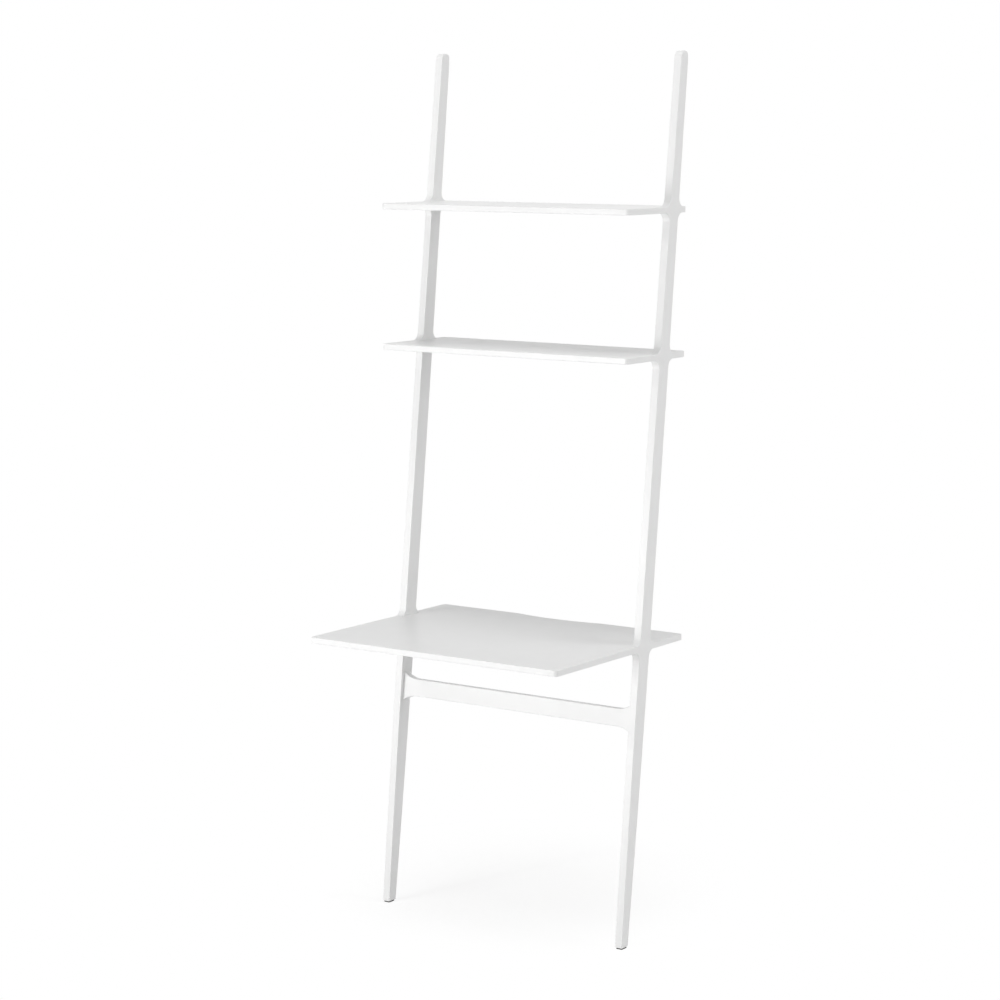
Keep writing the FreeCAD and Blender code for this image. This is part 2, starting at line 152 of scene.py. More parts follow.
# The leg starts as an upright bar, is drawn in at rings to its bow, leaned back and cut to length.
half_size = Vector(((outer_x - inner_x) / 2, leg_half_widest, 0))
below = foot_axis - Vector((0, 0, leg_overrun))
above = foot_axis + Vector((0, 0, leg_length + leg_overrun))
right_frame = start_piece("right_frame", below - half_size, above + half_size)
arm_levels = [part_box(name) for name in board_names]
rings = [ring * ring_spacing for ring in range(round(leg_length / ring_spacing) + 1)]
rings = [along for along in rings
         if all(abs(along * math.cos(lean) - low.z) > ring_clear_of_arm for low, high in arm_levels)]
for along in rings:
    cut((0, 0, along), (0, 0, 1))
for along in [-leg_overrun] + rings + [leg_length + leg_overrun]:
    pick(right_frame, "VERT", lambda vert: near(vert.co.z, along))
    bpy.ops.transform.resize(value=(1, leg_half_depth(along) / leg_half_widest, 1),
                             center_override=foot_axis + Vector((0, 0, along)))
bpy.ops.mesh.select_all(action="SELECT")
bpy.ops.transform.rotate(value=lean, orient_axis="X", center_override=foot_axis)
cut((0, 0, foot_z), (0, 0, -1), clear=True)
cut((0, 0, tip_z), (0, 0, 1), clear=True)
cut((0, wall_y, 0), (0, 1, 0), clear=True)

# Each arm is drawn out of the leg's front and back, between two level cuts.
for low, high in arm_levels:
    cut((0, 0, low.z), (0, 0, 1))
    cut((0, 0, high.z), (0, 0, 1))
    for end_y, facing in ((low.y, -1), (high.y, 1)):
        pick(right_frame, "FACE", lambda face: face.normal.y * facing > abs(face.normal.x)
             and low.z < face.calc_center_median().z < high.z)
        bpy.ops.mesh.extrude_region_move(TRANSFORM_OT_translate={"value": (0, facing * leg_half_widest, 0)})
        bpy.ops.transform.resize(value=(1, 0, 1), center_override=(0, end_y, 0))
for side_x in (inner_x, outer_x):
    pick(right_frame, "FACE", lambda face: all(near(vert.co.x, side_x) for vert in face.verts))
    bpy.ops.mesh.dissolve_faces()

# The crossings are filleted, the tip is rounded, and so are the arms' outer corners in plan.
obtuse = math.pi / 2 + lean
acute = math.pi / 2 - lean
for low, high in arm_levels:
    for level, front_turn, back_turn in ((high.z, obtuse, acute), (low.z, acute, obtuse)):
        for turn, facing in ((front_turn, -1), (back_turn, 1)):
            pick(right_frame, "EDGE", lambda edge: runs_along(edge, x_axis)
                 and near(edge.verts[0].co.z, level)
                 and low.y + plan_corner_radius < edge.verts[0].co.y < high.y - plan_corner_radius
                 and (edge.verts[0].co.y - leg_axis_y(level)) * facing > 0)
            round_off(crossing_radius, turn)
for turn, radius, facing in ((obtuse, tip_front_radius, -1), (math.pi / 2, tip_wall_radius, 1)):
    pick(right_frame, "EDGE", lambda edge: runs_along(edge, x_axis) and near(edge.verts[0].co.z, tip_z)
         and (edge.verts[0].co.y - leg_axis_y(tip_z)) * facing > 0)
    round_off(radius, turn)
pick(right_frame, "EDGE", lambda edge: runs_along(edge, z_axis) and near(edge.verts[0].co.x, outer_x)
     and any(low.z < middle(edge).z < high.z for low, high in arm_levels))
round_off(plan_corner_radius, math.pi / 2)

# The arrises are rounded, those of the seam by a hair to keep the joint tight. The foot's end stays square.
sharp_turn = math.radians(30)


def is_sharp(edge):
    return edge.calc_face_angle(0) > sharp_turn


pick(right_frame, "EDGE", lambda edge: is_sharp(edge) and not near(middle(edge).x, inner_x)
     and not near(middle(edge).z, foot_z))
round_off(arris_radius, math.pi / 2, arris_segments)
pick(right_frame, "EDGE", lambda edge: is_sharp(edge) and near(edge.verts[0].co.x, inner_x)
     and near(edge.verts[1].co.x, inner_x) and not near(middle(edge).z, foot_z))
round_off(seam_arris, math.pi / 2, arris_segments // 2)
bpy.ops.object.mode_set(mode="OBJECT")

# The inner face is bored for the dowels and bolts, and the foot's end for the screw of its pad.
dowel_inset = 0.045
desk_dowel_spans = 2
shelf_dowel_spans = 1
dowel_bore = 0.0031
dowel_in_arm = 0.0105
bolt_bore = 0.0026
bolt_in_arm = 0.0115
crossbar_z = 0.550
crossbar_dowel_spacing = 0.028
pad_screw_bore = 0.0016
pad_screw_in_leg = 0.0153
bore_vertices = 32
drill_overrun = 0.001
up_leg = Vector((0, math.sin(lean), math.cos(lean)))
to_right = Vector((1, 0, 0))
upwards = Vector((0, 0, 1))


def seam_places(name):
    """Where the dowels and the cam bolts of a board cross the seam at its right-hand end."""
    low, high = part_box(name)
    spans = desk_dowel_spans if name == "desk_panel" else shelf_dowel_spans
    first = Vector((inner_x, low.y + dowel_inset, (low.z + high.z) / 2))
    last = Vector((inner_x, high.y - dowel_inset, first.z))
    dowels = [first.lerp(last, step / spans) for step in range(spans + 1)]
    bolts = [(a + b) / 2 for a, b in zip(dowels, dowels[1:])]
    return {"dowels": dowels, "bolts": bolts}


crossbar_seam = Vector((inner_x, leg_axis_y(crossbar_z), crossbar_z))
places = {name: seam_places(name) for name in board_names}
places["crossbar"] = {
    "dowels": [crossbar_seam + up_leg * side * crossbar_dowel_spacing / 2 for side in (-1, 1)],
    "bolts": [crossbar_seam],
}


def take(piece):
    """Select just this piece, as the active one."""
    bpy.ops.object.select_all(action="DESELECT")
    piece.select_set(True)
    bpy.context.view_layer.objects.active = piece


def cut_away(piece, cutter):
    """Take one solid out of another, and throw the cutter away."""
    bores = piece.modifiers.new("bores", "BOOLEAN")
    bores.object = cutter
    bores.solver = "EXACT"
    take(piece)
    bpy.ops.object.modifier_apply(modifier=bores.name)
    take(cutter)
    bpy.ops.object.delete()


def drill(piece, holes, vertices=bore_vertices):
    """Bore round holes: each has the middle of its mouth, a direction, a radius and a depth."""
    bpy.ops.object.select_all(action="DESELECT")
    bits = []
    for mouth, direction, radius, depth in holes:
        bpy.ops.mesh.primitive_cylinder_add(
            vertices=vertices, radius=radius, depth=depth + drill_overrun,
            location=mouth + direction * (depth - drill_overrun) / 2,
            rotation=direction.to_track_quat("Z", "Y").to_euler())
        bits.append(bpy.context.active_object)
    for bit in bits:
        bit.select_set(True)
    if len(bits) > 1:
        bpy.ops.object.join()
    cut_away(piece, bpy.context.active_object)


arm_bores = []
for at_seam in places.values():
    arm_bores += [(place, to_right, dowel_bore, dowel_in_arm) for place in at_seam["dowels"]]
    arm_bores += [(place, to_right, bolt_bore, bolt_in_arm) for place in at_seam["bolts"]]
foot_middle = Vector((foot_axis.x, leg_axis_y(foot_z), foot_z))
drill(right_frame, arm_bores + [(foot_middle, upwards, pad_screw_bore, pad_screw_in_leg)])


def mirrored_copy(piece, name):
    """The same piece for the left-hand side, with its faces turned outwards again."""
    take(piece)
    bpy.ops.object.duplicate()
    copy = bpy.context.active_object
    label(copy, name)
    bpy.ops.transform.mirror(constraint_axis=(True, False, False), center_override=(0, 0, 0))
    bpy.ops.object.transform_apply(location=True, rotation=True, scale=True)
    bpy.ops.object.mode_set(mode="EDIT")
    bpy.ops.mesh.select_all(action="SELECT")
    bpy.ops.mesh.normals_make_consistent(inside=False)
    bpy.ops.object.mode_set(mode="OBJECT")
    return copy


left_frame = mirrored_copy(right_frame, "left_frame")

# The lacquer is a faintly clouded white with a satin gloss and a very fine skin.
lacquer_white = (0.840, 0.840, 0.836, 1)
lacquer_cloud = (0.826, 0.827, 0.825, 1)
noise_low = 0.3
noise_high = 0.7


def new_finish(name, **even_values):
    """A material with one surface shader, and the values that are the same all over set on its sockets."""
    finish = bpy.data.materials.new(name)
    finish.use_nodes = True
    surface = finish.node_tree.nodes["Principled BSDF"]
    for socket, value in even_values.items():
        surface.inputs[socket].default_value = value
    return finish, surface


def mottle(finish, scale, low=0.0, high=1.0, detail=2.0, stretch=(1, 1, 1)):
    """Soft noise on the piece's own coordinates, spread between two values."""
    tree = finish.node_tree
    place = tree.nodes.new("ShaderNodeTexCoord")
    turn = tree.nodes.new("ShaderNodeMapping")
    turn.inputs["Scale"].default_value = stretch
    noise = tree.nodes.new("ShaderNodeTexNoise")
    noise.inputs["Scale"].default_value = scale
    noise.inputs["Detail"].default_value = detail
    spread = tree.nodes.new("ShaderNodeMapRange")
    spread.inputs["From Min"].default_value = noise_low
    spread.inputs["From Max"].default_value = noise_high
    spread.inputs["To Min"].default_value = low
    spread.inputs["To Max"].default_value = high
    tree.links.new(place.outputs["Object"], turn.inputs["Vector"])
    tree.links.new(turn.outputs["Vector"], noise.inputs["Vector"])
    tree.links.new(noise.outputs["Fac"], spread.inputs["Value"])
    return spread.outputs["Result"]


def tint(finish, surface, share, first, second):
    """Colour the surface between two tones, as a pattern says."""
    tree = finish.node_tree
    blend = tree.nodes.new("ShaderNodeMix")
    blend.data_type = "RGBA"
    blend.inputs["A"].default_value = first
    blend.inputs["B"].default_value = second
    tree.links.new(share, blend.inputs["Factor"])
    tree.links.new(blend.outputs["Result"], surface.inputs["Base Color"])


def relief(finish, surface, height, depth, strength):
    """Raise the surface a little where a pattern is high."""
    tree = finish.node_tree
    bump = tree.nodes.new("ShaderNodeBump")
    bump.inputs["Distance"].default_value = depth
    bump.inputs["Strength"].default_value = strength
    tree.links.new(height, bump.inputs["Height"])
    tree.links.new(bump.outputs["Normal"], surface.inputs["Normal"])


def roughen(finish, surface, share):
    """Let a pattern vary how rough the surface is."""
    finish.node_tree.links.new(share, surface.inputs["Roughness"])


white_lacquer, lacquer_surface = new_finish("white_lacquer", IOR=1.5)
tint(white_lacquer, lacquer_surface, mottle(white_lacquer, scale=5.0), lacquer_white, lacquer_cloud)
roughen(white_lacquer, lacquer_surface,
        mottle(white_lacquer, scale=30.0, low=0.32, high=0.40, detail=4.0))
relief(white_lacquer, lacquer_surface, mottle(white_lacquer, scale=420.0, detail=1.0),
       depth=0.00006, strength=0.35)


def dress(piece, finish):
    """Give a piece its one material."""
    piece.data.materials.clear()
    piece.data.materials.append(finish)


def stand_for(piece, node, finish):
    """Smooth a finished piece, keep its flats flat, and let it take the place of a CAD node."""
    take(piece)
    bpy.ops.object.mode_set(mode="EDIT")
    bpy.ops.mesh.select_all(action="SELECT")
    bpy.ops.mesh.remove_doubles(threshold=tolerance)
    bpy.ops.object.mode_set(mode="OBJECT")
    bpy.ops.object.shade_smooth_by_angle(angle=sharp_turn)
    flats = piece.modifiers.new("flats", "WEIGHTED_NORMAL")
    flats.keep_sharp = True
    bpy.ops.object.modifier_apply(modifier=flats.name)
    dress(piece, finish)
    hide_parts(node)
    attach(piece, "root")


stand_for(right_frame, "right_side_frame", white_lacquer)
stand_for(left_frame, "left_side_frame", white_lacquer)

# Desk panel. A flat board in the frames' lacquer, cut square to fit between their arms, so that arm and
# board read as one slab. A shallow arc in its back edge lets cables pass the wall. Its long arrises are
# rounded like the frames', its ends are bored for dowels and bolts, and its underside holds the cams.
cable_recess_half = 0.125
cable_recess_depth = 0.014
cable_recess_blend = 0.080
recess_stations = 40
dowel_in_board = 0.0145
bolt_way = 0.0036
cam_setback = 0.024
cam_pocket = 0.0076
cam_pocket_past_bolt = 0.005
cam_vertices = 48

recess_radius = (cable_recess_half ** 2 + cable_recess_depth ** 2) / (2 * cable_recess_depth)
recess_centre = recess_radius - cable_recess_depth
blend_x = math.sqrt((recess_radius + cable_recess_blend) ** 2 - (recess_centre + cable_recess_blend) ** 2)
arc_end_x = blend_x * recess_radius / (recess_radius + cable_recess_blend)


def recess_at(x):
    """How far the recess goes in from the back edge: an arc whose two ends blend into the edge."""
    if abs(x) < arc_end_x:
        return math.sqrt(recess_radius ** 2 - x ** 2) - recess_centre
    return cable_recess_blend - math.sqrt(cable_recess_blend ** 2 - (blend_x - abs(x)) ** 2)


def looks_along(face, axis, facing):
    """Whether a face looks straight along the axis with that number, forwards or backwards."""
    return face.normal[axis] * facing > math.cos(tolerance)


def is_long_arris(edge):
    """Whether an edge is a sharp one that runs along a board, not round its ends."""
    return is_sharp(edge) and not near(abs(middle(edge).x), inner_x)


def both_ends(holes):
    """The same holes or places at the right-hand end and mirrored at the left-hand end."""
    flip = Vector((-1, 1, 1))
    return holes + [tuple(value * flip if isinstance(value, Vector) else value for value in hole)
                    for hole in holes]


def bore_board(piece, name, cam_face):
    """Bore a board's ends for its dowels and bolts, and its underside or back for the cams."""
    at_seam = places[name]
    ends = [(place, -to_right, dowel_bore, dowel_in_board) for place in at_seam["dowels"]]
    ends += [(place, -to_right, bolt_way, cam_setback) for place in at_seam["bolts"]]
    drill(piece, both_ends(ends))
    pockets = [(place - to_right * cam_setback + cam_face, -cam_face.normalized(), cam_pocket,
                cam_face.length + cam_pocket_past_bolt) for place in at_seam["bolts"]]
    drill(piece, both_ends(pockets), cam_vertices)


def round_long_arrises(piece):
    """Round a board's long arrises and leave its ends square."""
    pick(piece, "EDGE", is_long_arris)
    round_off(arris_radius, math.pi / 2, arris_segments)
    bpy.ops.object.mode_set(mode="OBJECT")


desk_low, desk_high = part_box("desk_panel")
panel_thickness = desk_high.z - desk_low.z
board_underside = Vector((0, 0, -panel_thickness / 2))
desk = start_piece("desk", desk_low, desk_high)
# The back edge is cut at close stations, which are drawn in to the arc of the recess.
stations = [blend_x * (2 * step / recess_stations - 1) for step in range(recess_stations + 1)]
for x in stations:
    cut((x, 0, 0), (1, 0, 0))
for x in stations:
    pick(desk, "VERT", lambda vert: near(vert.co.x, x) and near(vert.co.y, wall_y))
    bpy.ops.transform.translate(value=(0, -recess_at(x), 0))
for axis, facing in ((z_axis, 1), (z_axis, -1), (y_axis, -1)):
    pick(desk, "FACE", lambda face: looks_along(face, axis, facing))
    bpy.ops.mesh.dissolve_faces(use_verts=True)
round_long_arrises(desk)
bore_board(desk, "desk_panel", board_underside)
stand_for(desk, "desk_panel", white_lacquer)

# Shelf panels. Two equal boards of the same make as the desk panel, shallower and straight along the back.
# The middle one is also screwed to the wall brackets from below.
bracket_screw_bore = 0.0019
bracket_screw_depth = 0.0125
bracket_screw_x = (0.192, 0.208)
bracket_screw_setback = 0.014

bracket_screw_y = wall_y - bracket_screw_setback
for name in ("middle_shelf", "top_shelf"):
    shelf_low, shelf_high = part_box(name + "_panel")
    shelf = start_piece(name, shelf_low, shelf_high)
    round_long_arrises(shelf)
    bore_board(shelf, name + "_panel", board_underside)
    if name == "middle_shelf":
        mouths = [Vector((x, bracket_screw_y, shelf_low.z)) for x in bracket_screw_x]
        drill(shelf, both_ends(
            [(mouth, upwards, bracket_screw_bore, bracket_screw_depth) for mouth in mouths]))
    stand_for(shelf, name + "_panel", white_lacquer)

# Crossbar. A flat bar between the legs, square to their lean, that keeps the frames from racking. Its ends
# flare in short arcs to meet the legs. It is lacquered like the frames, and its cams sit in its back.
bar_half_width = 0.022
bar_half_thickness = 0.010
flare_length = 0.040
flare_rise = 0.0145
flare_steps = 12

bar_centre = Vector((0, crossbar_seam.y, crossbar_seam.z))
bar_half = Vector((inner_x - flare_length, bar_half_thickness, bar_half_width))
bar = start_piece("crossbar_bar", bar_centre - bar_half, bar_centre + bar_half)
# Each end is drawn out in short steps that widen along an arc.
flare_radius = (flare_length ** 2 + flare_rise ** 2) / (2 * flare_rise)
for facing in (-1, 1):
    pick(bar, "FACE", lambda face: looks_along(face, x_axis, facing))
    half_width = bar_half_width
    for step in range(1, flare_steps + 1):
        along = flare_length * step / flare_steps
        wider = bar_half_width + flare_radius - math.sqrt(flare_radius ** 2 - along ** 2)
        bpy.ops.mesh.extrude_region_move(
            TRANSFORM_OT_translate={"value": (facing * flare_length / flare_steps, 0, 0)})
        bpy.ops.transform.resize(value=(1, 1, wider / half_width), center_override=bar_centre)
        half_width = wider
for facing in (-1, 1):
    pick(bar, "FACE", lambda face: looks_along(face, y_axis, facing))
    bpy.ops.mesh.dissolve_faces(use_verts=True)
bpy.ops.mesh.select_all(action="SELECT")
bpy.ops.transform.rotate(value=lean, orient_axis="X", center_override=bar_centre)
round_long_arrises(bar)
bar_back = Vector((0, math.cos(lean), -math.sin(lean))) * bar_half_thickness
bore_board(bar, "crossbar", bar_back)
stand_for(bar, "crossbar", white_lacquer)

# Foot pads. Thin pads of black rubber under the legs, a little smaller than the leg's end, moulded with
# rounded corners and a matt skin. They keep the desk from sliding, and one countersunk screw holds each to
# its leg.
pad_corner_radius = 0.0025
pad_arris_radius = 0.0008
pad_corner_segments = 8
pad_screw_recess = 0.0008
pad_screw_head = 0.003
pad_screw_head_height = 0.0017
pad_screw_shank = 0.0015
countersink_clearance = 0.0001
turned_sides = 32


def turn_piece(name, profile, sides=turned_sides):
    """A turned piece round the upright axis, from pairs of height and radius, lowest first."""
    (low, first), (high, second) = profile[:2]
    bpy.ops.object.select_all(action="DESELECT")
    bpy.ops.mesh.primitive_cylinder_add(vertices=sides, radius=first, depth=high - low,
                                        location=(0, 0, (low + high) / 2))
    bpy.ops.object.transform_apply(location=True, rotation=True, scale=True)
    piece = bpy.context.active_object
    label(piece, name)
    bpy.ops.object.mode_set(mode="EDIT")
    pick(piece, "FACE", lambda face: face.normal.z > math.cos(sharp_turn))
    bpy.ops.transform.resize(value=(second / first, second / first, 1), center_override=(0, 0, high))
    for (below, wide), (above, next_wide) in zip(profile[1:], profile[2:]):
        bpy.ops.mesh.extrude_region_move(TRANSFORM_OT_translate={"value": (0, 0, above - below)})
        bpy.ops.transform.resize(value=(next_wide / wide, next_wide / wide, 1),
                                 center_override=(0, 0, above))
    bpy.ops.object.mode_set(mode="OBJECT")
    return piece


pad_low, pad_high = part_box("right_foot_pad")
right_pad = start_piece("right_pad", pad_low, pad_high)
pick(right_pad, "EDGE", lambda edge: runs_along(edge, z_axis))
round_off(pad_corner_radius, math.pi / 2, pad_corner_segments)
pick(right_pad, "EDGE", lambda edge: is_sharp(edge) and near(middle(edge).z, pad_low.z))
round_off(pad_arris_radius, math.pi / 2, arris_segments)
bpy.ops.object.mode_set(mode="OBJECT")
countersink = turn_piece("countersink", [
    (pad_low.z - drill_overrun, pad_screw_head + countersink_clearance),
    (pad_screw_recess, pad_screw_head + countersink_clearance),
    (pad_screw_recess + pad_screw_head_height, pad_screw_bore),
    (pad_high.z + drill_overrun, pad_screw_bore)])
countersink.location = (foot_middle.x, foot_middle.y, 0)
cut_away(right_pad, countersink)
left_pad = mirrored_copy(right_pad, "left_pad")

rubber_black = (0.022, 0.022, 0.022, 1)
rubber_grey = (0.036, 0.036, 0.035, 1)
foot_rubber, rubber_surface = new_finish("foot_rubber", IOR=1.5)
tint(foot_rubber, rubber_surface, mottle(foot_rubber, scale=180.0, detail=4.0), rubber_black, rubber_grey)
roughen(foot_rubber, rubber_surface,
        mottle(foot_rubber, scale=260.0, low=0.68, high=0.84, detail=3.0))
relief(foot_rubber, rubber_surface, mottle(foot_rubber, scale=2200.0), depth=0.00008, strength=0.5)
stand_for(right_pad, "right_foot_pad", foot_rubber)
stand_for(left_pad, "left_foot_pad", foot_rubber)

# Foot pad screws. Countersunk steel screws, plated with bright zinc and driven by a cross slot, up through
# the pads into the legs' end grain. The rolled thread is drawn as rings.
pad_screw_length = 0.018
pad_screw_root = 0.0012
pad_screw_pitch = 0.0013
pad_screw_thread = (0.0025, 0.0155)
screw_point = 0.0003
pad_screw_slot = (0.0034, 0.0008, 0.0013)


def thread(start, end, root, crest, pitch):
    """Heights and radii of a rolled thread, drawn as rings."""
    profile = []
    for step in range(round((end - start) / pitch)):
        groove = start + step * pitch
        profile += [(groove, root), (groove + pitch / 2, crest)]
    return profile + [(end, root)]


def cross_slot(piece, length, width, depth):
    """Cut a driver's cross slot up into a turned piece that stands on height zero."""
    for across, along in ((length, width), (width, length)):
        bpy.ops.object.select_all(action="DESELECT")
        bpy.ops.mesh.primitive_cube_add(size=1, location=(0, 0, (depth - drill_overrun) / 2),
                                        scale=(across, along, depth + drill_overrun))
        cut_away(piece, bpy.context.active_object)


def set_out(pattern, name, poses):
    """Copies of a piece, joined as one: each has a place and directions for its axis and its +Y side."""
    copies = []
    for place, axis, side in poses:
        take(pattern)
        bpy.ops.object.duplicate()
        copy = bpy.context.active_object
        copy.location = place
        copy.rotation_euler = Matrix((side.cross(axis), side, axis)).transposed().to_euler()
        copies.append(copy)
    take(pattern)
    bpy.ops.object.delete()
    for copy in copies:
        copy.select_set(True)
    bpy.context.view_layer.objects.active = copies[0]
    bpy.ops.object.join()
    bpy.ops.object.transform_apply(location=True, rotation=True, scale=True)
    label(copies[0], name)
    return copies[0]


pad_screw = turn_piece("pad_screw", [(0, pad_screw_head), (pad_screw_head_height, pad_screw_shank)]
                       + thread(*pad_screw_thread, pad_screw_root, pad_screw_shank, pad_screw_pitch)
                       + [(pad_screw_length, screw_point)])
cross_slot(pad_screw, *pad_screw_slot)
pad_screw_place = Vector((foot_middle.x, foot_middle.y, pad_screw_recess))
pad_screws = set_out(pad_screw, "pad_screws", both_ends([(pad_screw_place, upwards, to_right)]))

zinc_blue = (0.640, 0.645, 0.650, 1)
zinc_warm = (0.730, 0.725, 0.710, 1)
rolling_marks = (1, 1, 0.1)
zinc_steel, steel_surface = new_finish("zinc_steel", Metallic=1.0)
tint(zinc_steel, steel_surface, mottle(zinc_steel, scale=400.0, detail=3.0), zinc_blue, zinc_warm)
roughen(zinc_steel, steel_surface,
        mottle(zinc_steel, scale=1600.0, low=0.22, high=0.36, stretch=rolling_marks))
relief(zinc_steel, steel_surface, mottle(zinc_steel, scale=2600.0, stretch=rolling_marks),
       depth=0.00004, strength=0.4)
stand_for(pad_screws, "foot_pad_screws", zinc_steel)

# Dowels. Pegs of bare beech with the grain along them, fluted so that the glue can spread and chamfered at
# both ends. They sit partly in the arm or leg and a little deeper in the board or bar.
dowel_radius = 0.003
dowel_end_radius = 0.0023
dowel_end_chamfer = 0.001
dowel_reach_arm = 0.010
dowel_reach_board = 0.014
dowel_sides = 48
flute_turn = 30
flute_half_turn = 9
flute_share = 0.95


def in_flute(vert):
    """Whether a vertex is at the bottom of one of the flutes round the peg."""
    turn = math.degrees(math.atan2(vert.co.x, vert.co.y))
    return abs(turn - flute_turn * round(turn / flute_turn)) < flute_half_turn


def peg():
    """One fluted dowel, with the seam at height zero and the board below it."""
    dowel = turn_piece("peg", [
        (-dowel_reach_board, dowel_end_radius), (dowel_end_chamfer - dowel_reach_board, dowel_radius),
        (dowel_reach_arm - dowel_end_chamfer, dowel_radius), (dowel_reach_arm, dowel_end_radius)],
        dowel_sides)
    bpy.ops.object.mode_set(mode="EDIT")
    pick(dowel, "VERT", in_flute)
    bpy.ops.transform.resize(value=(flute_share, flute_share, 1), center_override=(0, 0, 0))
    bpy.ops.object.mode_set(mode="OBJECT")
    return dowel


beech_dark = (0.620, 0.440, 0.275, 1)
beech_light = (0.735, 0.560, 0.375, 1)
grain = (0.06, 1, 1)
pores = (0.05, 1, 1)
beech, beech_surface = new_finish("beech", IOR=1.45)
tint(beech, beech_surface, mottle(beech, scale=900.0, detail=5.0, stretch=grain), beech_dark, beech_light)
roughen(beech, beech_surface, mottle(beech, scale=700.0, low=0.52, high=0.68, stretch=grain))
relief(beech, beech_surface, mottle(beech, scale=1500.0, stretch=pores), depth=0.0001, strength=0.5)

fitting_names = {name: name.removesuffix("_panel") for name in places}
for name, short_name in fitting_names.items():
    poses = [(place, to_right, upwards) for place in places[name]["dowels"]]
    pegs = set_out(peg(), short_name + "_pegs", both_ends(poses))
    stand_for(pegs, short_name + "_dowels", beech)

# Cams. Discs of die-cast zinc in the undersides of the boards and the back of the bar, flush with the
# lacquer. A turn of the cross slot grips the bolt's head and pulls the seam tight. The cast skin is dull and
# a little blotchy.
cam_radius = 0.0075
cam_rim_chamfer = 0.0004
cam_past_bolt = 0.0045
cam_slot = (0.0080, 0.0018, 0.0025)
cam_head_cavity = 0.00355
cam_head_room = 0.00155
cam_stem_way = 0.0023


def cam_disc(to_bolt):
    """One cam that stands on its slotted face, with the bolt's way in on its +Y side."""
    disc = turn_piece("cam_disc", [(0, cam_radius - cam_rim_chamfer), (cam_rim_chamfer, cam_radius),
                                   (to_bolt + cam_past_bolt, cam_radius)], cam_vertices)
    cross_slot(disc, *cam_slot)
    centre = Vector((0, 0, to_bolt))
    way_in = Vector((0, 1, 0))
    drill(disc, [(centre - way_in * (cam_head_room - drill_overrun), way_in, cam_head_cavity,
                  2 * cam_head_room - drill_overrun)])
    drill(disc, [(centre + way_in * drill_overrun, way_in, cam_stem_way, cam_radius)])
    return disc


cast_dark = (0.500, 0.505, 0.510, 1)
cast_light = (0.640, 0.640, 0.635, 1)
cam_zinc, zinc_surface = new_finish("cam_zinc", Metallic=1.0)
tint(cam_zinc, zinc_surface, mottle(cam_zinc, scale=320.0, detail=4.0), cast_dark, cast_light)
roughen(cam_zinc, zinc_surface, mottle(cam_zinc, scale=500.0, low=0.38, high=0.56, detail=3.0))
relief(cam_zinc, zinc_surface, mottle(cam_zinc, scale=1800.0), depth=0.00008, strength=0.4)

for name, short_name in fitting_names.items():
    to_face = bar_back if name == "crossbar" else board_underside
    poses = [(place - to_right * cam_setback + to_face, -to_face.normalized(), to_right)
             for place in places[name]["bolts"]]
    discs = set_out(cam_disc(to_face.length), short_name + "_cam_discs", both_ends(poses))
    stand_for(discs, short_name + "_cams", cam_zinc)

# Cam bolts. Turned steel with the same bright zinc: a threaded end in the arm or leg, a collar that stops at
# the seam, and a thin neck whose head lies in the middle of the cam.
bolt_thread_length = 0.011
bolt_thread_root = 0.0021
bolt_thread_crest = 0.0025
bolt_thread_pitch = 0.0010
bolt_collar_end = 0.012
bolt_collar = 0.0035
bolt_neck = 0.0020
bolt_head = 0.00325
bolt_head_length = 0.0025
bolt_head_chamfer = 0.0004


def bolt():
    """One cam bolt that stands on its threaded end."""
    head_start = bolt_thread_length + cam_setback - bolt_head_length / 2
    head_end = head_start + bolt_head_length
    return turn_piece("bolt", thread(
        0, bolt_thread_length, bolt_thread_root, bolt_thread_crest, bolt_thread_pitch) + [
            (bolt_thread_length, bolt_collar), (bolt_collar_end, bolt_collar),
            (bolt_collar_end, bolt_neck), (head_start, bolt_neck),
            (head_start, bolt_head - bolt_head_chamfer), (head_start + bolt_head_chamfer, bolt_head),
            (head_end - bolt_head_chamfer, bolt_head), (head_end, bolt_head - bolt_head_chamfer)])


for name, short_name in fitting_names.items():
    poses = [(place + to_right * bolt_thread_length, -to_right, upwards) for place in places[name]["bolts"]]
    bolts = set_out(bolt(), short_name + "_bolts", both_ends(poses))
    stand_for(bolts, short_name + "_cam_bolts", zinc_steel)

# Wall brackets. Small angles of folded steel under the middle shelf's back edge, powder coated white, that
# hold the desk to the wall with a screw through each. The coat has a fine pebbled skin.
bracket_steel = 0.002
bracket_bend_radius = 0.003
bracket_corner_radius = 0.004
bracket_arris_radius = 0.0002
bracket_segments = 8
flat_turn = math.radians(1)
wall_hole = 0.00275
wall_hole_drop = 0.014

bracket_low, bracket_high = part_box("right_wall_bracket")
flange_y = bracket_high.y - bracket_steel
flange_z = bracket_high.z - bracket_steel
shelf_flange_low = Vector((bracket_low.x, bracket_low.y, flange_z))
right_bracket = start_piece("right_bracket", shelf_flange_low, bracket_high)
# The wall flange is drawn down from the back of the flat one, and then the bend and the corners are rounded.
cut((0, flange_y, 0), (0, 1, 0))
pick(right_bracket, "FACE", lambda face: face.normal.z < 0 and face.calc_center_median().y > flange_y)
bpy.ops.mesh.extrude_region_move(TRANSFORM_OT_translate={"value": (0, 0, bracket_low.z - flange_z)})
bpy.ops.mesh.select_all(action="SELECT")
bpy.ops.mesh.dissolve_limited(angle_limit=flat_turn)
for bend_y, bend_z, radius in ((flange_y, flange_z, bracket_bend_radius),
                               (bracket_high.y, bracket_high.z, bracket_bend_radius + bracket_steel)):
    pick(right_bracket, "EDGE", lambda edge: runs_along(edge, x_axis) and near(middle(edge).y, bend_y)
         and near(middle(edge).z, bend_z))
    round_off(radius, math.pi / 2, bracket_segments)
pick(right_bracket, "EDGE", lambda edge: (runs_along(edge, z_axis) and near(middle(edge).y, bracket_low.y))
     or (runs_along(edge, y_axis) and near(middle(edge).z, bracket_low.z)))
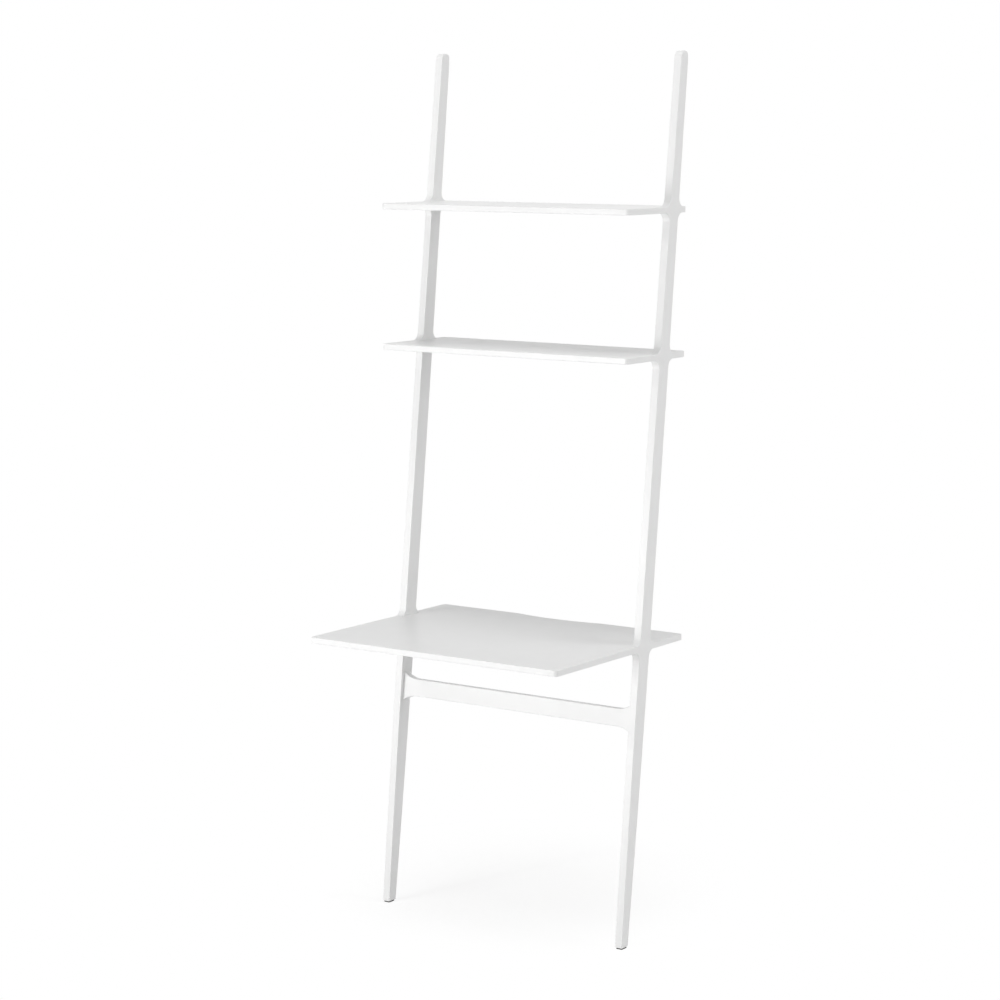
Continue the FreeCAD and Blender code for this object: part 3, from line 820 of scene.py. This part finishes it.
round_off(bracket_corner_radius, math.pi / 2, bracket_segments)
pick(right_bracket, "EDGE", is_sharp)
round_off(bracket_arris_radius, math.pi / 2, arris_segments // 2)
bpy.ops.object.mode_set(mode="OBJECT")
bracket_middle_x = (bracket_low.x + bracket_high.x) / 2
screw_mouths = [Vector((x, bracket_screw_y, flange_z)) for x in bracket_screw_x]
through_steel = bracket_steel + drill_overrun
drill(right_bracket, [(mouth, upwards, bracket_screw_bore, through_steel) for mouth in screw_mouths])
wall_hole_mouth = Vector((bracket_middle_x, flange_y, bracket_high.z - wall_hole_drop))
to_wall = Vector((0, 1, 0))
drill(right_bracket, [(wall_hole_mouth, to_wall, wall_hole, through_steel)])
left_bracket = mirrored_copy(right_bracket, "left_bracket")

powder_white = (0.822, 0.822, 0.816, 1)
powder_cloud = (0.804, 0.804, 0.800, 1)
bracket_paint, paint_surface = new_finish("bracket_paint", IOR=1.5)
tint(bracket_paint, paint_surface, mottle(bracket_paint, scale=90.0), powder_white, powder_cloud)
roughen(bracket_paint, paint_surface,
        mottle(bracket_paint, scale=300.0, low=0.48, high=0.62, detail=3.0))
relief(bracket_paint, paint_surface, mottle(bracket_paint, scale=1400.0), depth=0.00012, strength=0.5)
stand_for(right_bracket, "right_wall_bracket", bracket_paint)
stand_for(left_bracket, "left_wall_bracket", bracket_paint)

# Bracket screws. Short steel screws with domed heads and bright zinc, driven by a cross slot, up through the
# brackets into the middle shelf. The rolled thread is drawn as rings and runs out in a point.
bracket_screw_head_height = 0.0022
bracket_screw_dome = ((0, 0.0018), (0.0002, 0.0024), (0.0006, 0.0029), (0.0012, 0.0033),
                      (bracket_screw_head_height, 0.0035))
bracket_screw_shank = 0.00175
bracket_screw_root = 0.0014
bracket_screw_pitch = 0.0013
bracket_screw_reach = 0.012
bracket_screw_point = 0.0035
bracket_screw_slot = (0.0040, 0.0009, 0.0013)

point_start = bracket_screw_head_height + bracket_screw_reach - bracket_screw_point
bracket_screw_thread = thread(bracket_screw_head_height, point_start, bracket_screw_root,
                              bracket_screw_shank, bracket_screw_pitch)
bracket_screw = turn_piece("bracket_screw", [*bracket_screw_dome, *bracket_screw_thread,
                                             (point_start + bracket_screw_point, screw_point)])
cross_slot(bracket_screw, *bracket_screw_slot)
head_drop = upwards * bracket_screw_head_height
poses = [(mouth - head_drop, upwards, to_right) for mouth in screw_mouths]
bracket_screws = set_out(bracket_screw, "bracket_screws", both_ends(poses))
stand_for(bracket_screws, "wall_bracket_screws", zinc_steel)

# Studio floor. A wide pale sweep that the camera sees as white. The desk's soft shadow is kept on it as a
# round pool behind the legs, which fades to white all round.
floor_size = 40.0
floor_glow = 0.675
floor_shadow_share = 0.45
shadow_middle = (-0.15, 0.35, 0)
shadow_reach = 0.15
white_from = 0.65
floor_pale = (0.900, 0.900, 0.900, 1)
floor_cloud = (0.890, 0.890, 0.890, 1)

bpy.ops.object.select_all(action="DESELECT")
bpy.ops.mesh.primitive_plane_add(size=floor_size, location=(0, 0, 0))
floor = bpy.context.active_object
floor.name = "studio_floor"
floor_paint, floor_surface = new_finish("floor_paint", Roughness=0.9)
tint(floor_paint, floor_surface, mottle(floor_paint, scale=3.0), floor_pale, floor_cloud)


def seen_directly(tree):
    """1 for what the camera sees, straight on or in a mirror or glass, and 0 for light on its way."""
    path = tree.nodes.new("ShaderNodeLightPath")
    seen = path.outputs["Is Camera Ray"]
    for other in ("Is Glossy Ray", "Is Transmission Ray"):
        either = tree.nodes.new("ShaderNodeMath")
        either.operation = "MAXIMUM"
        tree.links.new(seen, either.inputs[0])
        tree.links.new(path.outputs[other], either.inputs[1])
        seen = either.outputs["Value"]
    return seen


def show_white_to_camera(tree, plain, seen_as):
    """Put one surface before the camera and another before the light."""
    mix = tree.nodes.new("ShaderNodeMixShader")
    tree.links.new(seen_directly(tree), mix.inputs["Fac"])
    tree.links.new(plain, mix.inputs[1])
    tree.links.new(seen_as, mix.inputs[2])
    return mix.outputs["Shader"]


# The camera sees a pale glow plus the floor's own light and shade near the desk, and plain white beyond.
floor_tree = floor_paint.node_tree
glow = floor_tree.nodes.new("ShaderNodeEmission")
glow.inputs["Strength"].default_value = floor_glow
far_white = floor_tree.nodes.new("ShaderNodeEmission")
far_white.inputs["Strength"].default_value = 1.0
place_on_floor = floor_tree.nodes.new("ShaderNodeTexCoord")
from_middle = floor_tree.nodes.new("ShaderNodeVectorMath")
from_middle.operation = "DISTANCE"
from_middle.inputs[1].default_value = shadow_middle
fade = floor_tree.nodes.new("ShaderNodeMapRange")
fade.interpolation_type = "SMOOTHSTEP"
fade.inputs["From Min"].default_value = shadow_reach
fade.inputs["From Max"].default_value = white_from
sweep = floor_tree.nodes.new("ShaderNodeMixShader")
shade = floor_tree.nodes.new("ShaderNodeBsdfDiffuse")
shade.inputs["Color"].default_value = (floor_shadow_share, floor_shadow_share, floor_shadow_share, 1)
lit = floor_tree.nodes.new("ShaderNodeAddShader")
floor_tree.links.new(glow.outputs["Emission"], lit.inputs[0])
floor_tree.links.new(shade.outputs["BSDF"], lit.inputs[1])
floor_tree.links.new(place_on_floor.outputs["Object"], from_middle.inputs[0])
floor_tree.links.new(from_middle.outputs["Value"], fade.inputs["Value"])
floor_tree.links.new(fade.outputs["Result"], sweep.inputs["Fac"])
floor_tree.links.new(lit.outputs["Shader"], sweep.inputs[1])
floor_tree.links.new(far_white.outputs["Emission"], sweep.inputs[2])
seen_floor = show_white_to_camera(floor_tree, floor_surface.outputs["BSDF"], sweep.outputs["Shader"])
floor_tree.links.new(seen_floor, floor_tree.nodes["Material Output"].inputs["Surface"])
dress(floor, floor_paint)

# Studio light. An even pale surround and three large soft boxes: one in front and to the left for the front
# edges, one on the right for the sides and one overhead for the tops. A small lamp, high in front and to the
# left, draws the thin shadow behind the left foot.
surround_level = 0.365
lamp_target = Vector((0, 0, 1.0))
lamps = {
    "front_soft_box": (Vector((-1.8, -4.5, 0.85)), (2.4, 1.5), 105.0),
    "front_lamp": (Vector((-1.6, -4.4, 3.4)), (0.35, 0.35), 18.0),
    "right_soft_box": (Vector((6.0, 1.5, 2.8)), (3.0, 3.0), 119.7),
    "overhead_soft_box": (Vector((0.3, -0.8, 6.0)), (2.5, 2.5), 84.9),
}
world = bpy.data.worlds.new("studio")
bpy.context.scene.world = world
world.use_nodes = True
surround = world.node_tree.nodes["Background"]
surround.inputs["Color"].default_value = (1, 1, 1, 1)
surround.inputs["Strength"].default_value = surround_level
backdrop = world.node_tree.nodes.new("ShaderNodeBackground")
backdrop.inputs["Color"].default_value = (1, 1, 1, 1)
backdrop.inputs["Strength"].default_value = 1.0
seen_surround = show_white_to_camera(world.node_tree, surround.outputs["Background"],
                                     backdrop.outputs["Background"])
world.node_tree.links.new(seen_surround, world.node_tree.nodes["World Output"].inputs["Surface"])
for name, (place, (width, height), power) in lamps.items():
    bpy.ops.object.light_add(type="AREA", location=place,
                             rotation=(lamp_target - place).to_track_quat("-Z", "Y").to_euler())
    lamp = bpy.context.active_object
    lamp.name = name
    lamp.data.shape = "RECTANGLE"
    lamp.data.size = width
    lamp.data.size_y = height
    lamp.data.energy = power

# Camera. It stands to the right of the desk, higher than its middle, and looks down a little. A long lens
# from far away keeps the legs almost parallel.
camera_place = Vector((3.79665, -5.41633, 1.99432))
camera_azimuth = math.radians(34.9621)
camera_pitch = math.radians(8.02105)
sensor_width = 36.0
lens_length = 99.581
bpy.ops.object.camera_add(location=camera_place, rotation=(math.pi / 2 - camera_pitch, 0, camera_azimuth))
camera = bpy.context.active_object
camera.data.sensor_width = sensor_width
camera.data.lens = lens_length
bpy.context.scene.camera = camera
bpy.context.scene.view_settings.view_transform = "Standard"
